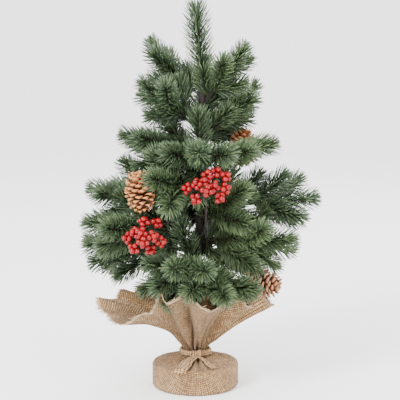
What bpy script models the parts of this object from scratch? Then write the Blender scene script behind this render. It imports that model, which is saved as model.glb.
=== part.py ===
"""An artificial tabletop tree. Moulded evergreen sprigs sit on taped wires round a trunk that is cast into a
weighted base. A square of burlap wraps the base, is tied at the neck and flares out above it. Three pine
cones and two berry picks hang among the branches.

Units are metres and +Z is up. The origin is the centre of the face that the tree rests on, and the front of
the tree faces -Y. Azimuths are in degrees from +X towards +Y.
"""

import math

import bmesh
import bpy
from mathutils import Vector

MM = 0.001

# Clearance that neighbouring pieces keep from each other
GAP = 0.3 * MM

# Weighted base and the burlap round it
BASE_RADIUS = 66 * MM
BASE_HEIGHT = 38 * MM
BASE_ROUNDING = 6 * MM
CLOTH = 1.6 * MM
TUB_WALL = 1.8 * MM
CEMENT_BELOW_RIM = 2 * MM
POLE_SINK = 22 * MM

# Neck and flared skirt of the burlap, whose height and bore follow the base and the trunk
CLOTH_SIDE = 440 * MM
NECK_RISE = 12 * MM
NECK_LENGTH = 10 * MM
NECK_CLEARANCE = 3.5 * MM
NECK_PLEATS = 9 * MM
SKIRT_CORNER_AZIMUTHS = (28, 105, 182, 290)
SKIRT_CORNER_RISE = 32
SKIRT_EDGE_RISE = 45
SKIRT_PLEAT = 2.5 * MM
SKIRT_FACETS = 36

# Strip tied round the neck
TIE_THICKNESS = 3 * MM
TIE_HEIGHT = 8 * MM
KNOT_RADIUS = 7 * MM
TAIL_THICKNESS = 2 * MM
# Each tail runs out from the knot: azimuth, width
TIE_TAILS = ((250, 20 * MM), (296, 8 * MM))

# Trunk: a steel pole with brown tape wound round it, leaning a little to the right
TRUNK_TOP = 470 * MM
TRUNK_LEAN = math.radians(1.3)
POLE_RADIUS = 3 * MM
TAPE_FOOT_RADIUS = 6.5 * MM
TAPE_TOP_RADIUS = 4.2 * MM

# Taped wires that carry the sprigs
STEM_RADIUS = 1.9 * MM
STEM_ROOT_RADIUS = 2.6 * MM
STEM_TIP_RADIUS = 1.1 * MM
SOCKET_DEPTH = 8 * MM

# Sizes that follow from the ones above
NECK_HEIGHT = BASE_HEIGHT + NECK_RISE
NECK_BORE = TAPE_FOOT_RADIUS + NECK_CLEARANCE
NECK_RADIUS = NECK_BORE + NECK_PLEATS

# Needle-covered shoots
SHOOT_RADIUS = 6.5 * MM
TWIG_RADIUS = 2.6 * MM
SHOOT_SIDES = 6
SIDE_SHOOT_SPREAD = 40
# Share of a shoot's length from its foot, and share of its full radius there
SHOOT_SHAPE = ((0.2, 0.75), (0.45, 1.0), (0.8, 0.85), (1.0, 0.2))
# Sprigs come in two sizes: length of the middle shoot, length of the side shoots, and where the two side
# shoots leave the middle one
SPRIGS = {
    "long": (108 * MM, 80 * MM, (16 * MM, 25 * MM)),
    "short": (92 * MM, 62 * MM, (14 * MM, 22 * MM)),
}
LEADER_LENGTH = 92 * MM
LEADER_STEM = 20 * MM
LEADER_AZIMUTH = 180
LEADER_ELEVATION = 84

# Side branches from the top down: drop below the top of the trunk in mm, azimuth, elevation, reach in mm,
# roll of the sprig about its own axis, and the sprig that it carries
BRANCHES = (
    (30, 340, 52, 108, -10, "short"),
    (38, 168, 52, 126, 0, "short"),
    (52, 85, 45, 115, 0, "short"),
    (72, 212, 36, 126, 15, "short"),
    (84, 26, 40, 120, 0, "short"),
    (112, 186, 14, 121, 10, "long"),
    (106, 64, 34, 124, -10, "long"),
    (120, 268, 12, 122, 0, "long"),
    (125, 350, 16, 116, 0, "long"),
    (138, 128, 18, 138, 0, "long"),
    (165, 238, 14, 135, -60, "long"),
    (185, 172, 6, 168, 0, "long"),
    (194, 2, 4, 176, 30, "long"),
    (202, 92, 8, 150, 0, "long"),
    (212, 312, 32, 118, 95, "long"),
    (232, 198, 8, 176, 0, "long"),
    (248, 338, 6, 152, -30, "long"),
    (262, 160, 2, 182, 0, "long"),
    (265, 50, 0, 150, 0, "long"),
    (280, 252, 7, 125, 0, "long"),
    (292, 290, -8, 125, 0, "long"),
)

# Pine cones: drop of the wire's root below the top of the trunk, its azimuth, the centre of the cone from
# the trunk's middle at that height, and the cone's axis from foot to tip
CONE_LENGTH = 58 * MM
CONE_RADIUS = 22 * MM
CONE_TIERS = 7
CONE_SIDES = 12
CONE_WIRE_RADIUS = 1.2 * MM
CONES = {
    "left": (208, 232, (-86, -78, 51), (-0.15, 0.1, 1.0)),
    "right_upper": (152, 28, (64, 42, 45), (0.1, 0.0, 1.0)),
    "right_lower": (304, 332, (95, -50, 4), (0.9, -0.3, -0.1)),
}

# Berry picks: drop of the wire's root below the top of the trunk, its azimuth, the hub that the berries'
# wires spring from, measured like a cone's centre, and each bunch's offset from the hub
BERRY_RADIUS = 4.2 * MM
BERRY_WIRE_RADIUS = 0.9 * MM
PICK_WIRE_RADIUS = 1.7 * MM
PICK_HUB_RADIUS = 2.2 * MM
BERRIES_IN_BUNCH = 5
PICKS = {
    "left": (
        252,
        224,
        (-77, -74, 26),
        (
            (-27, -16, 2), (-17, -30, -12), (-14, -26, 12), (-3, -38, 0), (8, -22, -15),
            (12, -36, 8), (-2, -18, 27), (17, -12, 24), (24, -26, -2),
        ),
    ),
    "right": (
        234,
        283,
        (13, -82, 74),
        (
            (-31, -18, 10), (-18, -30, -4), (-16, -24, 18), (-2, -38, 10), (18, -28, -2),
            (0, -24, 30), (13, -18, 34), (26, -20, 28), (27, -26, 12),
        ),
    ),
}


def material(name, colour, roughness, metallic=0.0):
    """A Principled material of one colour."""
    made = bpy.data.materials.new(name)
    made.use_nodes = True
    shader = made.node_tree.nodes["Principled BSDF"]
    shader.inputs["Base Color"].default_value = (*colour, 1.0)
    shader.inputs["Roughness"].default_value = roughness
    shader.inputs["Metallic"].default_value = metallic
    return made


def direction(azimuth, elevation):
    """Unit vector at an azimuth and an elevation in degrees."""
    around = math.radians(azimuth)
    up = math.radians(elevation)
    return Vector((math.cos(up) * math.cos(around), math.cos(up) * math.sin(around), math.sin(up)))


def across(axis, roll=0.0):
    """Two unit vectors square to an axis: one level, one upward, both turned about it by roll degrees."""
    level = Vector((0.0, 0.0, 1.0)).cross(axis)
    if level.length < 0.01:
        level = Vector((0.0, 1.0, 0.0))
    level.normalize()
    upward = axis.cross(level)
    turn = math.radians(roll)
    turned = level * math.cos(turn) + upward * math.sin(turn)
    return turned, axis.cross(turned)


def trunk_point(height):
    """Centre of the leaning trunk at a height."""
    return Vector((math.tan(TRUNK_LEAN) * height, 0.0, height))


def tape_radius(height):
    """Outside radius of the trunk's tape at a height."""
    foot = BASE_HEIGHT
    share = (height - foot) / (TRUNK_TOP - foot)
    return TAPE_FOOT_RADIUS + (TAPE_TOP_RADIUS - TAPE_FOOT_RADIUS) * share


def root_point(height, azimuth):
    """Centre of a wire's rounded root, which bears on the tape with the usual gap."""
    reach = tape_radius(height) + GAP + STEM_ROOT_RADIUS
    return trunk_point(height) + direction(azimuth, 0) * reach


def mesh_object(name, build, finish=None):
    """Make an object from bmesh geometry that a function builds, with its faces pointing out."""
    mesh = bpy.data.meshes.new(name)
    shape = bmesh.new()
    build(shape)
    bmesh.ops.recalc_face_normals(shape, faces=shape.faces)
    shape.to_mesh(mesh)
    shape.free()
    mesh.shade_smooth()
    mesh.set_sharp_from_angle(angle=math.radians(50))
    made = bpy.data.objects.new(name, mesh)
    bpy.context.scene.collection.objects.link(made)
    if finish:
        mesh.materials.append(finish)
    return made


def bridge_rings(shape, rings):
    """Join each ring of points to the next with quads."""
    count = len(rings[0])
    for low, high in zip(rings, rings[1:]):
        for i in range(count):
            j = (i + 1) % count
            shape.faces.new((low[i], low[j], high[j], high[i]))


def add_rings(shape, stations, sides):
    """Rings of points round stations of (centre, axis, radius)."""
    rings = []
    for centre, axis, radius in stations:
        level, upward = across(axis)
        ring = []
        for i in range(sides):
            angle = math.tau * i / sides
            offset = (level * math.cos(angle) + upward * math.sin(angle)) * radius
            ring.append(shape.verts.new(centre + offset))
        rings.append(ring)
    return rings


def turned_object(name, stations, sides, finish=None):
    """A closed round solid through stations, with flat ends."""

    def build(shape):
        rings = add_rings(shape, stations, sides)
        bridge_rings(shape, rings)
        shape.faces.new(rings[0])
        shape.faces.new(rings[-1])

    return mesh_object(name, build, finish)


def hollow_object(name, stations, sides, finish=None):
    """A turned solid with a bore right through: its last ring joins its first."""

    def build(shape):
        rings = add_rings(shape, stations, sides)
        bridge_rings(shape, rings + rings[:1])

    return mesh_object(name, build, finish)


def join_solids(name, pieces, finish, origin):
    """Union of overlapping solids as one object, with its origin moved to a point."""
    base = pieces[0]
    extra = bpy.data.collections.new(name + "_pieces")
    for piece in pieces[1:]:
        extra.objects.link(piece)
    union = base.modifiers.new("join", "BOOLEAN")
    union.operation = "UNION"
    union.solver = "EXACT"
    union.operand_type = "COLLECTION"
    union.collection = extra
    graph = bpy.context.evaluated_depsgraph_get()
    mesh = bpy.data.meshes.new_from_object(base.evaluated_get(graph))
    for piece in pieces:
        bpy.data.objects.remove(piece)
    bpy.data.collections.remove(extra)
    mesh.name = name
    mesh.materials.clear()
    mesh.materials.append(finish)
    made = bpy.data.objects.new(name, mesh)
    bpy.context.scene.collection.objects.link(made)
    set_origin(made, origin)
    return made


def set_origin(piece, point):
    """Move an object's origin to a point and leave its shape where it is."""
    for vertex in piece.data.vertices:
        vertex.co -= point
    piece.location = point


def cut_away(piece, cutter):
    """Cut a guide solid out of a piece, and keep the guide as a hidden helper."""
    cut = piece.modifiers.new("cut", "BOOLEAN")
    cut.operation = "DIFFERENCE"
    cut.solver = "EXACT"
    cut.object = cutter
    cutter.hide_render = True
    cutter.display_type = "WIRE"


def upright_stations(profile):
    """Stations about the Z axis from (radius, height) pairs."""
    up = Vector((0.0, 0.0, 1.0))
    return [(Vector((0.0, 0.0, height)), up, radius) for radius, height in profile]


def trunk_stations(profile):
    """Stations along the leaning trunk from (radius, height) pairs."""
    axis = trunk_point(1.0).normalized()
    return [(trunk_point(height), axis, radius) for radius, height in profile]


# Heights of the nested pieces of the base, one above another
TUB_FLOOR = CLOTH + GAP
CEMENT_FLOOR = TUB_FLOOR + TUB_WALL + GAP
TUB_RIM = BASE_HEIGHT - CLOTH - GAP
CEMENT_TOP = TUB_RIM - CEMENT_BELOW_RIM
TUB_RADIUS = BASE_RADIUS - CLOTH - GAP
POLE_FOOT = CEMENT_TOP - POLE_SINK


def build_base(plastic, cement, steel, tape):
    """Dish, cast weight, pole and the tape round it."""
    inner = TUB_RADIUS - TUB_WALL
    draft = BASE_ROUNDING
    tub_profile = (
        (TUB_RADIUS - draft, TUB_FLOOR),
        (TUB_RADIUS, TUB_FLOOR + draft),
        (TUB_RADIUS, TUB_RIM),
        (inner, TUB_RIM),
        (inner, TUB_FLOOR + draft),
        (inner - draft, TUB_FLOOR + TUB_WALL),
    )
    turned_object("base_tub", upright_stations(tub_profile), 32, plastic)
    weight_radius = inner - GAP
    weight_profile = (
        (weight_radius - draft - GAP, CEMENT_FLOOR),
        (weight_radius, TUB_FLOOR + draft + GAP),
        (weight_radius, CEMENT_TOP),
    )
    weight = turned_object("cement_weight", upright_stations(weight_profile), 32, cement)
    socket_radius = POLE_RADIUS + GAP
    socket_profile = ((socket_radius, POLE_FOOT - GAP), (socket_radius, BASE_HEIGHT))
    socket = turned_object("pole_socket", trunk_stations(socket_profile), 12)
    cut_away(weight, socket)
    pole_profile = ((POLE_RADIUS, POLE_FOOT), (POLE_RADIUS, TRUNK_TOP))
    turned_object("trunk_pole", trunk_stations(pole_profile), 12, steel)
    bore = POLE_RADIUS + GAP
    foot = CEMENT_TOP + GAP
    top = TRUNK_TOP - 2 * MM
    tape_profile = (
        (bore, foot),
        (TAPE_FOOT_RADIUS, foot),
        (tape_radius(top), top),
        (bore, top),
    )
    rings = trunk_stations(tape_profile)
    hollow_object("trunk_tape", rings, 12, tape)


def corner_offset(azimuth):
    """Degrees from an azimuth to the nearest corner of the cloth."""
    offsets = [abs((azimuth - corner + 180) % 360 - 180) for corner in SKIRT_CORNER_AZIMUTHS]
    return min(offsets)


def corner_length():
    """Cloth from the top of the neck to a corner of the square."""
    used = BASE_RADIUS + BASE_HEIGHT + (BASE_RADIUS - NECK_RADIUS) + NECK_LENGTH
    return CLOTH_SIDE * math.sqrt(0.5) - used


def skirt_point(azimuth, along, inset, facet):
    """Point of the skirt's outer face at a share of its length, or of its inner face with an inset."""
    offset = min(45.0, corner_offset(azimuth))
    share = 1 - offset / 45
    rise = math.radians(SKIRT_EDGE_RISE + (SKIRT_CORNER_RISE - SKIRT_EDGE_RISE) * share)
    corner_reach = NECK_RADIUS + corner_length() * math.cos(math.radians(SKIRT_CORNER_RISE))
    angle = math.radians(offset)
    edge_reach = corner_reach / (math.cos(angle) + math.sin(angle))
    length = (edge_reach - NECK_RADIUS) / math.cos(rise) * along
    pleat = SKIRT_PLEAT * (1 if facet % 2 else -1) * min(1.0, 4 * along)
    out = NECK_RADIUS + length * math.cos(rise) + (pleat - inset) * math.sin(rise)
    up = NECK_HEIGHT + NECK_LENGTH + length * math.sin(rise) - (pleat - inset) * math.cos(rise)
    around = math.radians(azimuth)
    return Vector((out * math.cos(around), out * math.sin(around), up))


def build_burlap(burlap):
    """The cloth as one shell: under and round the base, in to the neck, and out as a flared skirt."""
    cover = (
        (BASE_RADIUS - BASE_ROUNDING, 0.0),
        (BASE_RADIUS, BASE_ROUNDING),
        (BASE_RADIUS, BASE_HEIGHT),
        (NECK_RADIUS, NECK_HEIGHT),
    )
    lining = (
        (NECK_BORE, NECK_HEIGHT - CLOTH),
        (BASE_RADIUS - CLOTH, BASE_HEIGHT - CLOTH),
        (BASE_RADIUS - CLOTH, BASE_ROUNDING + CLOTH),
        (BASE_RADIUS - CLOTH - BASE_ROUNDING, CLOTH),
    )
    steps = (0.0, 0.3, 0.65, 1.0)

    def build(shape):
        azimuths = [360 * i / SKIRT_FACETS for i in range(SKIRT_FACETS)]

        def level_ring(radius, height):
            lift = Vector((0.0, 0.0, height))
            return [shape.verts.new(direction(azimuth, 0) * radius + lift) for azimuth in azimuths]

        def skirt_ring(along, inset):
            return [
                shape.verts.new(skirt_point(azimuth, along, inset, facet))
                for facet, azimuth in enumerate(azimuths)
            ]

        rings = [level_ring(radius, height) for radius, height in cover]
        rings += [skirt_ring(along, 0.0) for along in steps]
        rings += [skirt_ring(along, CLOTH) for along in reversed(steps[1:])]
        rings.append(level_ring(NECK_BORE, NECK_HEIGHT + NECK_LENGTH))
        rings += [level_ring(radius, height) for radius, height in lining]
        bridge_rings(shape, rings)
        shape.faces.new(rings[0])
        shape.faces.new(rings[-1])

    mesh_object("burlap_wrap", build, burlap)


def box_stations(start, end, width, thickness):
    """Corners of a flat strip that lies from one point to another."""
    axis = (end - start).normalized()
    level, upward = across(axis)
    corners = []
    for centre in (start, end):
        ring = []
        for side, lift in ((-1, 0), (1, 0), (1, 1), (-1, 1)):
            ring.append(centre + level * (side * width / 2) + upward * (lift * thickness))
        corners.append(ring)
    return corners


def strip_object(name, start, end, width, thickness):
    """A flat strip from one point to another."""

    def build(shape):
        ends = box_stations(start, end, width, thickness)
        rings = [[shape.verts.new(corner) for corner in ring] for ring in ends]
        bridge_rings(shape, rings)
        shape.faces.new(rings[0])
        shape.faces.new(rings[1])

    return mesh_object(name, build)


def build_tie(burlap):
    """Strip round the neck with a knot in front and two tails on the base."""
    inner = NECK_RADIUS + GAP
    outer = inner + TIE_THICKNESS
    low = NECK_HEIGHT + GAP
    high = low + TIE_HEIGHT
    band_profile = ((inner, low), (outer, low), (outer, high), (inner, high))
    band = hollow_object("tie_band", upright_stations(band_profile), SKIRT_FACETS)
    front = direction(270, 0)
    middle = Vector((0.0, 0.0, (low + high) / 2))
    knot_centre = front * (outer + KNOT_RADIUS / 2) + middle
    knot_profile = ((-1.0, 0.5), (-0.5, 0.9), (0.0, 1.0), (0.5, 0.9), (1.0, 0.5))
    knot_stations = []
    for along, girth in knot_profile:
        centre = knot_centre + Vector((along * KNOT_RADIUS, 0.0, 0.0))
        knot_stations.append((centre, Vector((1.0, 0.0, 0.0)), girth * KNOT_RADIUS * 0.6))
    pieces = [band, turned_object("tie_knot", knot_stations, 8)]
    slope = (NECK_HEIGHT - BASE_HEIGHT) / (BASE_RADIUS - NECK_RADIUS)
    lift = Vector((0.0, 0.0, 3 * GAP))
    tip_radius = BASE_RADIUS - BASE_ROUNDING
    tip_height = BASE_HEIGHT + slope * (BASE_RADIUS - tip_radius)
    for number, (azimuth, width) in enumerate(TIE_TAILS):
        tip = direction(azimuth, 0) * tip_radius + Vector((0.0, 0.0, tip_height)) + lift
        foot = knot_centre + lift * (1 + 3 * number)
        pieces.append(strip_object("tie_tail", foot, tip, width, TAIL_THICKNESS + number * GAP))
    join_solids("burlap_tie", pieces, burlap, knot_centre)


def wire_stations(root, axis, length, radius):
    """A taped wire with a rounded root and a slim tip that enters a socket."""
    ball = STEM_ROOT_RADIUS
    shape = (
        (-ball, 0.3 * ball),
        (-0.7 * ball, 0.7 * ball),
        (0.0, ball),
        (0.7 * ball, 0.75 * ball),
        (2.0 * ball, radius),
        (length, radius),
        (length, STEM_TIP_RADIUS),
        (length + SOCKET_DEPTH - GAP, STEM_TIP_RADIUS),
    )
    return [(root + axis * along, axis, girth) for along, girth in shape]


def shoot_stations(start, axis, length, foot_radius):
    """One needle-covered shoot, slim at its foot and tapering to its tip."""
    stations = [(start, axis, foot_radius)]
    for share, girth in SHOOT_SHAPE:
        stations.append((start + axis * length * share, axis, SHOOT_RADIUS * girth))
    return stations


def socket_stations(start, axis):
    """Bore in a shoot's foot for the wire's tip, from its bottom out to the mouth."""
    radius = STEM_TIP_RADIUS + GAP
    return [(start + axis * SOCKET_DEPTH, axis, radius), (start, axis, radius)]


def build_branch(name, root, axis, reach, roll, sprig, tape, foliage):
    """A taped wire and the three-shoot sprig on its end, hinged at the wire's root."""
    middle_length, side_length, side_starts = SPRIGS[sprig]
    stem_length = reach - middle_length - GAP
    stem = turned_object(name + "_stem", wire_stations(root, axis, stem_length, STEM_RADIUS), 6, tape)
    set_origin(stem, root)
    foot = root + axis * (stem_length + GAP)
    middle = socket_stations(foot, axis) + shoot_stations(foot, axis, middle_length, TWIG_RADIUS)
    pieces = [turned_object(name + "_middle", middle, SHOOT_SIDES)]
    level, _ = across(axis, roll)
    spread = math.radians(SIDE_SHOOT_SPREAD)
    for side, start in zip((-1, 1), side_starts):
        side_axis = axis * math.cos(spread) + level * (side * math.sin(spread))
        stations = shoot_stations(foot + axis * start, side_axis, side_length, TWIG_RADIUS * 0.7)
        pieces.append(turned_object(name + "_side", stations, SHOOT_SIDES))
    join_solids(name + "_spray", pieces, foliage, root)


def build_leader(tape, foliage):
    """The single upright shoot on top of the trunk."""
    root = trunk_point(TRUNK_TOP + GAP + STEM_ROOT_RADIUS)
    axis = direction(LEADER_AZIMUTH, LEADER_ELEVATION)
    stem = turned_object("leader_stem", wire_stations(root, axis, LEADER_STEM, STEM_RADIUS), 6, tape)
    set_origin(stem, root)
    foot = root + axis * (LEADER_STEM + GAP)
    stations = socket_stations(foot, axis) + shoot_stations(foot, axis, LEADER_LENGTH, TWIG_RADIUS)
    spray = turned_object("leader_spray", stations, SHOOT_SIDES, foliage)
    set_origin(spray, root)


def bent_wire_stations(root, azimuth, end, end_axis, radius):
    """A wire that leaves the trunk and curves round to meet its load along end_axis."""
    reach = (end - root).length
    first = root + direction(azimuth, 0) * reach * 0.55
    last = end - end_axis * reach * 0.3
    stations = []
    count = 8
    for i in range(count + 1):
        t = i / count
        rest = 1 - t
        point = (
            root * rest ** 3
            + first * (3 * rest * rest * t)
            + last * (3 * rest * t * t)
            + end * t ** 3
        )
        slope = (
            (first - root) * (3 * rest * rest)
            + (last - first) * (6 * rest * t)
            + (end - last) * (3 * t * t)
        )
        stations.append((point, slope.normalized(), radius))
    ball = STEM_ROOT_RADIUS
    axis = stations[0][1]
    rounded = [(root + axis * along, axis, girth) for along, girth in ((-ball, 0.3 * ball), (0.0, ball))]
    return rounded + [(root + axis * ball * 1.5, axis, radius)] + stations[1:]


def cone_radius(share):
    """Outline of a pine cone: share of its full radius at a share of its length."""
    return math.sin(math.pi * min(1.0, 0.12 + 0.8 * share)) ** 0.6


def build_cone(label, wire_finish, cone_finish):
    """A pine cone whose scales step out in tiers, on a bent wire."""
    drop, azimuth, offset, axis = CONES[label]
    height = TRUNK_TOP - drop * MM
    axis = Vector(axis).normalized()
    centre = trunk_point(height) + Vector(offset) * MM
    root = root_point(height, azimuth)
    foot = centre - axis * (CONE_LENGTH / 2)
    level, upward = across(axis)

    def build(shape):
        rings = []
        for tier in range(CONE_TIERS):
            for lip in (0, 1):
                share = (tier + 0.15 + 0.7 * lip) / CONE_TIERS
                radius = CONE_RADIUS * cone_radius(share) * (0.72 + 0.28 * lip)
                ring = []
                for i in range(CONE_SIDES):
                    angle = math.tau * (i + 0.5 * (tier % 2)) / CONE_SIDES
                    spread = radius * (1.0 if (i + tier) % 2 else 0.9)
                    offset = (level * math.cos(angle) + upward * math.sin(angle)) * spread
                    ring.append(shape.verts.new(foot + axis * (share * CONE_LENGTH) + offset))
                rings.append(ring)
        bridge_rings(shape, rings)
        shape.faces.new(rings[0])
        shape.faces.new(rings[-1])

    cone = mesh_object("pinecone_" + label, build, cone_finish)
    set_origin(cone, root)
    first_tier = foot + axis * (0.15 / CONE_TIERS * CONE_LENGTH)
    stations = bent_wire_stations(root, azimuth, first_tier - axis * GAP, axis, CONE_WIRE_RADIUS)
    wire = turned_object("pinecone_" + label + "_wire", stations, 6, wire_finish)
    set_origin(wire, root)


def berry(centre):
    """One berry as a small faceted ball."""

    def build(shape):
        bmesh.ops.create_icosphere(shape, subdivisions=1, radius=BERRY_RADIUS)
        bmesh.ops.translate(shape, verts=shape.verts, vec=centre)

    return mesh_object("berry", build)


def build_pick(label, wire_finish, berry_finish):
    """A taped wire that carries a head of berries in bunches on thin wires."""
    drop, azimuth, offset, bunches = PICKS[label]
    height = TRUNK_TOP - drop * MM
    hub = trunk_point(height) + Vector(offset) * MM
    root = root_point(height, azimuth)
    out = (Vector((hub.x, hub.y, 0.0)) - Vector((root.x, root.y, 0.0))).normalized()
    head_axis = (out + Vector((0.0, 0.0, 0.5))).normalized()
    wire_end = hub - head_axis * (PICK_HUB_RADIUS + GAP)
    stations = bent_wire_stations(root, azimuth, wire_end, head_axis, PICK_WIRE_RADIUS)
    wire = turned_object("berry_pick_" + label + "_wire", stations, 6, wire_finish)
    set_origin(wire, root)
    hub_ends = (-PICK_HUB_RADIUS, PICK_HUB_RADIUS)
    hub_stations = [(hub + head_axis * along, head_axis, PICK_HUB_RADIUS) for along in hub_ends]
    pieces = [turned_object("hub", hub_stations, 6)]
    for number, bunch in enumerate(bunches):
        centre = hub + Vector(bunch) * MM
        axis = (centre - hub).normalized()
        wire_run = [(hub, axis, BERRY_WIRE_RADIUS), (centre, axis, BERRY_WIRE_RADIUS)]
        pieces.append(turned_object("berry_wire", wire_run, 4))
        level, upward = across(axis)
        for i in range(BERRIES_IN_BUNCH):
            if i == 0:
                place = centre + axis * BERRY_RADIUS * 0.6
            else:
                angle = math.tau * (i - 1) / (BERRIES_IN_BUNCH - 1) + number
                around = level * math.cos(angle) + upward * math.sin(angle)
                place = centre + around * BERRY_RADIUS * 1.2 - axis * BERRY_RADIUS * 0.4
            pieces.append(berry(place))
    join_solids("berry_pick_" + label + "_head", pieces, berry_finish, root)


def main():
    for old in list(bpy.data.objects):
        bpy.data.objects.remove(old)
    plastic = material("black plastic", (0.03, 0.03, 0.03), 0.6)
    cement = material("cement", (0.45, 0.44, 0.42), 0.95)
    steel = material("steel wire", (0.45, 0.45, 0.46), 0.35, 1.0)
    tape = material("brown paper tape", (0.07, 0.045, 0.03), 0.8)
    burlap = material("burlap", (0.55, 0.40, 0.25), 0.95)
    foliage = material("moulded evergreen needles", (0.06, 0.12, 0.05), 0.5)
    wood = material("pine cone", (0.42, 0.22, 0.10), 0.8)
    red = material("red lacquered berries", (0.65, 0.02, 0.02), 0.15)
    build_base(plastic, cement, steel, tape)
    build_burlap(burlap)
    build_tie(burlap)
    build_leader(tape, foliage)
    for number, (drop, azimuth, elevation, reach, roll, sprig) in enumerate(BRANCHES, 1):
        root = root_point(TRUNK_TOP - drop * MM, azimuth)
        name = "branch_{:02d}".format(number)
        build_branch(name, root, direction(azimuth, elevation), reach * MM, roll, sprig, tape, foliage)
    for label in CONES:
        build_cone(label, tape, wood)
    for label in PICKS:
        build_pick(label, tape, red)


main()
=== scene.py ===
"""Looks of an artificial tabletop tree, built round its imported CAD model.

Units are metres and +Z is up. The front of the tree faces -Y. Azimuths are in degrees from +X towards +Y.
"""

import math

import bpy
import numpy as np
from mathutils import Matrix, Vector, noise


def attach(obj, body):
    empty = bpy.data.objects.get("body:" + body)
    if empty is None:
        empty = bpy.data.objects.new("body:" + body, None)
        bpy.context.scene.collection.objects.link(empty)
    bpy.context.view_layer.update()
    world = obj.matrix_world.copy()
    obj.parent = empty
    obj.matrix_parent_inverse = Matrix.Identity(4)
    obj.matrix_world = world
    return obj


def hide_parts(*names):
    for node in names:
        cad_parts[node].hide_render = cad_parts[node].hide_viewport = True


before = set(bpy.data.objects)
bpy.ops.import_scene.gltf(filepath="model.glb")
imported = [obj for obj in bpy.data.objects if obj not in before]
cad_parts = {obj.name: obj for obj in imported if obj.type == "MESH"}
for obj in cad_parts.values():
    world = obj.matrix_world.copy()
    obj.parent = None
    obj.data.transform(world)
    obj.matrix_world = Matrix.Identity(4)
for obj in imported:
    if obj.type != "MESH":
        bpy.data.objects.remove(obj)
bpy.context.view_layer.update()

MM = 0.001
GOLDEN_ANGLE = math.radians(137.508)

# Sizes shared with the CAD model
GAP = 0.3 * MM
BASE_RADIUS = 66 * MM
BASE_HEIGHT = 38 * MM
BASE_ROUNDING = 6 * MM
NECK_RADIUS = 19 * MM
NECK_HEIGHT = 50 * MM
NECK_LENGTH = 10 * MM
TAPE_FOOT = 34.4 * MM
TRUNK_TOP = 470 * MM
TRUNK_LEAN = math.radians(1.3)
TAPE_FOOT_RADIUS = 6.5 * MM
TAPE_TOP_RADIUS = 4.2 * MM
STEM_ROOT_RADIUS = 2.6 * MM
SIDE_SHOOT_SPREAD = math.radians(40)
# Length of a sprig's middle shoot, length of its side shoots, and where those leave the middle one
SPRIGS = {
    "long": (108 * MM, 80 * MM, (16 * MM, 25 * MM)),
    "short": (92 * MM, 62 * MM, (14 * MM, 22 * MM)),
}
LEADER_LENGTH = 92 * MM
LEADER_STEM = 20 * MM
LEADER_AZIMUTH = 180
LEADER_ELEVATION = 84
# Drop below the top of the trunk in mm, azimuth, elevation, reach in mm, roll of the sprig, and its size
BRANCHES = (
    (30, 340, 52, 108, -10, "short"),
    (38, 168, 52, 126, 0, "short"),
    (52, 85, 45, 115, 0, "short"),
    (72, 212, 36, 126, 15, "short"),
    (84, 26, 40, 120, 0, "short"),
    (112, 186, 14, 121, 10, "long"),
    (106, 64, 34, 124, -10, "long"),
    (120, 268, 12, 122, 0, "long"),
    (125, 350, 16, 116, 0, "long"),
    (138, 128, 18, 138, 0, "long"),
    (165, 238, 14, 135, -60, "long"),
    (185, 172, 6, 168, 0, "long"),
    (194, 2, 4, 176, 30, "long"),
    (202, 92, 8, 150, 0, "long"),
    (212, 312, 32, 118, 95, "long"),
    (232, 198, 8, 176, 0, "long"),
    (248, 338, 6, 152, -30, "long"),
    (262, 160, 2, 182, 0, "long"),
    (265, 50, 0, 150, 0, "long"),
    (280, 252, 7, 125, 0, "long"),
    (292, 290, -8, 125, 0, "long"),
)
CONE_LENGTH = 58 * MM
CONE_RADIUS = 22 * MM
CONE_SCALES = 92
# Drop of the height that a cone's centre is measured at, that centre from the trunk, both in mm, the cone's
# axis, and its colouring
CONES = {
    "left": (208, (-86, -78, 51), (-0.15, 0.1, 1.0), "tan"),
    "right_upper": (152, (64, 42, 45), (0.1, 0.0, 1.0), "tan"),
    "right_lower": (304, (95, -50, 4), (0.9, -0.3, -0.1), "rust"),
}
# Colours of a scale, from its root to its tip; the dark root is partly the wood's own darker brown and partly
# painted shade between the scales
CONE_SHADES = {
    "tan": ((0.055, 0.017, 0.006), (0.270, 0.084, 0.027), (0.430, 0.185, 0.070)),
    "rust": ((0.040, 0.014, 0.007), (0.190, 0.062, 0.022), (0.270, 0.150, 0.085)),
}
BERRY_RADIUS = 4.0 * MM
# Drop of the height that a hub is measured at, the hub from the trunk, and each bunch from the hub, in mm
PICKS = {
    "left": (
        252,
        (-77, -74, 26),
        (
            (-27, -16, 2), (-17, -30, -12), (-14, -26, 12), (-3, -38, 0), (8, -22, -15),
            (12, -36, 8), (-2, -18, 27), (17, -12, 24), (24, -26, -2),
        ),
    ),
    "right": (
        234,
        (13, -82, 74),
        (
            (-31, -18, 10), (-18, -30, -4), (-16, -24, 18), (-2, -38, 10), (18, -28, -2),
            (0, -24, 30), (13, -18, 34), (26, -20, 28), (27, -26, 12),
        ),
    ),
}

# Bunches in the middle of a head, from its hub in mm, which the CAD head leaves out
MIDDLE_BUNCHES = {"left": ((-6, -34, 12),), "right": ((9, -30, 15), (-4, -30, 22))}

# Moulded needles, whose last roots sit short of a shoot's tip so that their own tips end there
NEEDLE_LENGTH = 31 * MM
NEEDLE_WIDTH = 1.9 * MM
NEEDLE_PITCH = 0.40 * MM
NEEDLE_SETBACK = 14 * MM
# Needle lengths on a sprig of each size, as shares of the full length
NEEDLE_SHARES = {"long": 0.93, "short": 0.84, "leader": 1.04}
TWIG_RADIUS = 1.4 * MM
# Shares of a needle's length from its root, and of its width there
NEEDLE_GIRTHS = ((0.0, 0.6), (0.25, 1.0), (0.8, 0.9), (1.0, 0.15))
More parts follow.
